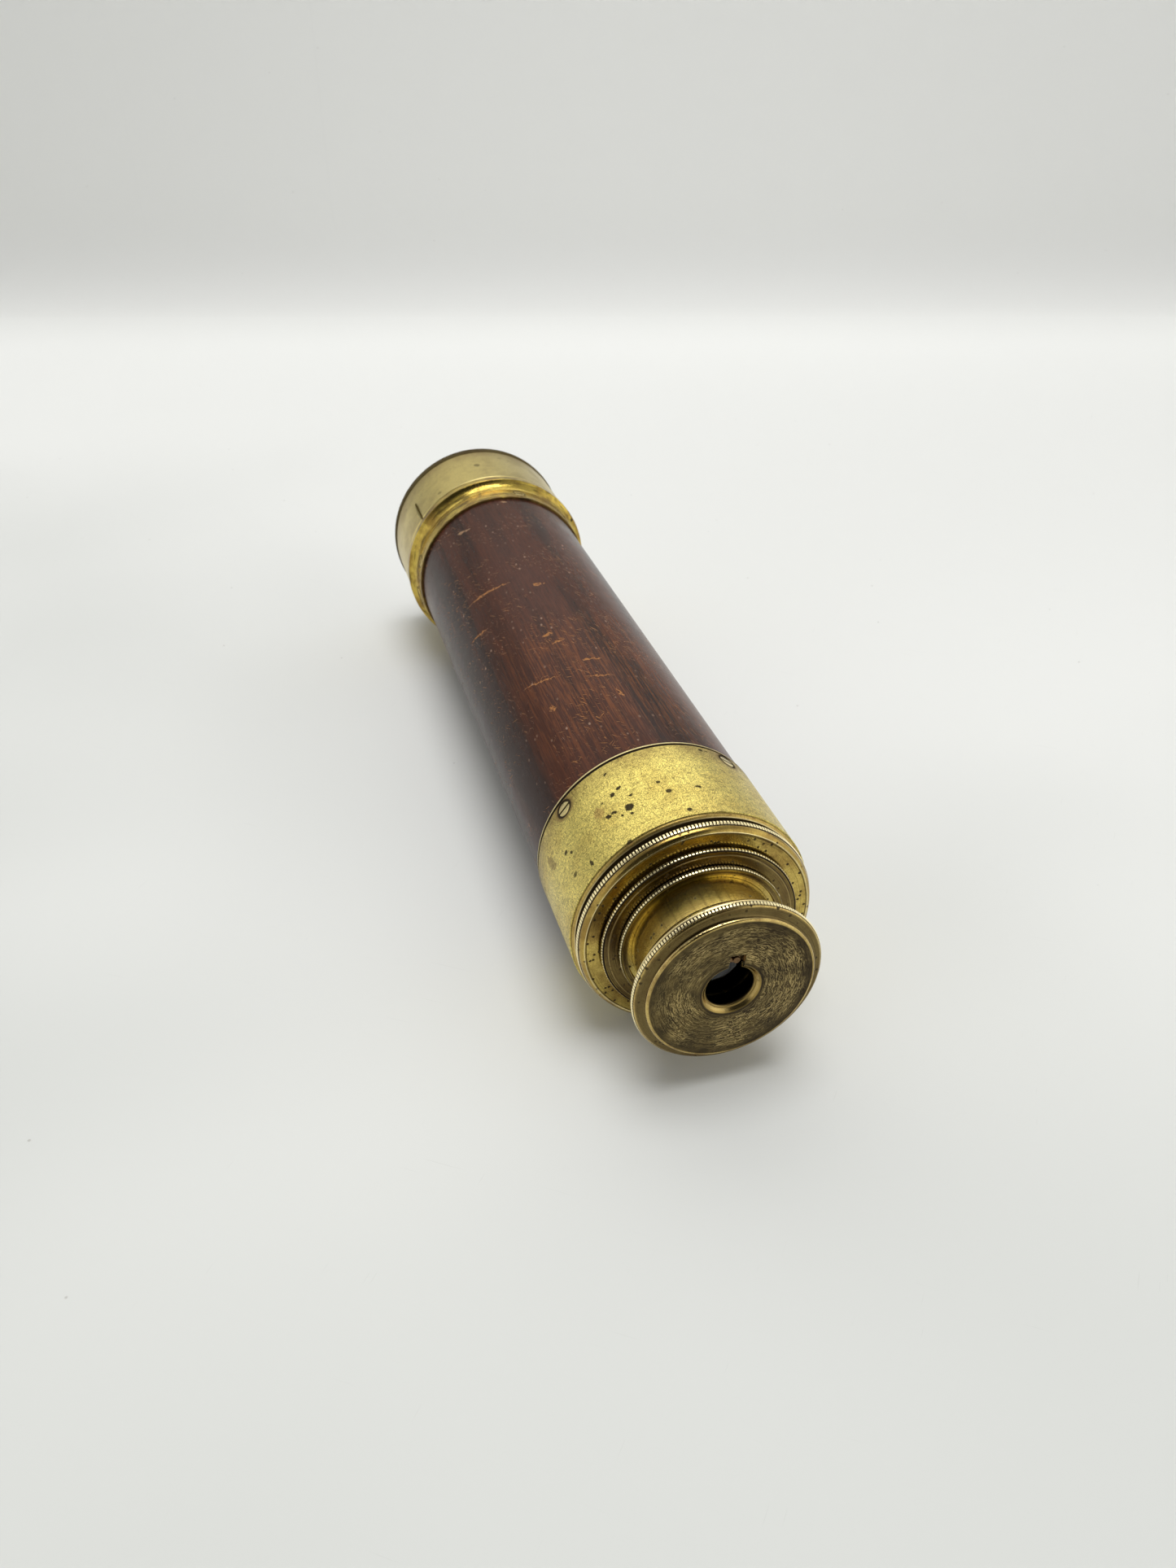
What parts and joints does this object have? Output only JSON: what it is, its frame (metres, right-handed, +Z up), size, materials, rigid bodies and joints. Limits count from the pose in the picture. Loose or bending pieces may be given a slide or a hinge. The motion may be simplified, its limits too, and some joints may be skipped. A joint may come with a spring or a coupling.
{
  "type": "collapsible hand telescope",
  "caption": "Collapsible hand telescope: wooden barrel with brass ferrules, nested sliding draw tubes with knurled collars, an eye cap with a swinging shutter and a slip-on objective cap.",
  "frame": {"origin": "on the optical axis, in the plane of the eye-end ferrule's front shoulder, where its cylinder ends", "axes": "+X along the optical axis towards the eyepiece, the way the draws pull out; +Z up with the telescope lying on its side; +Y completes a right-handed frame"},
  "size_m": [0.2297, 0.0568, 0.0568],
  "materials": {
    "mahogany": "old polished dark red-brown wood, scratched",
    "ferrule_brass": "satin lacquered brass with fine dark scratches and spots",
    "objective_brass": "bright yellow polished brass",
    "pale_brass": "pale worn lacquered brass",
    "knurled_brass": "turned and knurled brass, dark in the grooves",
    "draw_brass": "polished drawn brass tube with dark specks",
    "patinated_brass": "dark brown patina with fine circular brass scratches",
    "screw_brass": "pale filed brass",
    "inner_brass": "blackened brass",
    "shutter_brass": "brown oxidised sheet brass",
    "lens_glass": "clear polished glass"
  },
  "bodies": {
    "barrel": {"wood_barrel": "mahogany", "eye_end_ferrule": "ferrule_brass", "eye_end_ferrule_screws": "screw_brass", "objective_ferrule": "objective_brass", "objective_ferrule_screws": "screw_brass", "barrel_collar": "knurled_brass", "barrel_guide_sleeve": "draw_brass", "objective_cell": "objective_brass", "objective_flint_lens": "lens_glass", "objective_crown_lens": "lens_glass", "objective_retaining_ring": "inner_brass"},
    "objective_cap": {"objective_cap": "pale_brass"},
    "first_draw": {"first_draw_tube": "draw_brass", "first_draw_collar": "knurled_brass", "first_draw_guide_sleeve": "draw_brass", "first_draw_stop_ring": "draw_brass"},
    "second_draw": {"second_draw_tube": "draw_brass", "second_draw_collar": "knurled_brass", "second_draw_guide_sleeve": "draw_brass", "second_draw_stop_ring": "draw_brass"},
    "eyepiece_draw": {"third_draw_tube": "draw_brass", "third_draw_stop_ring": "draw_brass", "eyepiece_mount": "knurled_brass", "eye_cap": "patinated_brass", "eye_shutter_pivot": "screw_brass", "eyepiece_tube": "inner_brass", "eye_lens": "lens_glass", "eye_lens_cell": "inner_brass", "field_lens": "lens_glass", "field_lens_cell": "inner_brass", "erector_tube": "inner_brass", "erector_front_lens": "lens_glass", "erector_front_lens_cell": "inner_brass", "erector_rear_lens": "lens_glass", "erector_rear_lens_cell": "inner_brass", "erector_stop": "inner_brass"},
    "eye_shutter": {"eye_shutter": "shutter_brass"}
  },
  "joints": [
    {"name": "first_draw_slide", "type": "slide", "parent": "barrel", "child": "first_draw", "axis": [1, 0, 0], "range_m": [0, 0.148]},
    {"name": "second_draw_slide", "type": "slide", "parent": "first_draw", "child": "second_draw", "axis": [1, 0, 0], "range_m": [0, 0.15]},
    {"name": "third_draw_slide", "type": "slide", "parent": "second_draw", "child": "eyepiece_draw", "axis": [1, 0, 0], "range_m": [-0.0086, 0.144]},
    {"name": "objective_cap_slide", "type": "slide", "parent": "barrel", "child": "objective_cap", "axis": [-1, 0, 0], "range_m": [0, 0.06]},
    {"name": "eye_shutter_swing", "type": "hinge", "parent": "eyepiece_draw", "child": "eye_shutter", "pos_m": [0.0206, 0.01193, 0.00438], "axis": [1, 0, 0], "range_deg": [0, 50.3]}
  ]
}
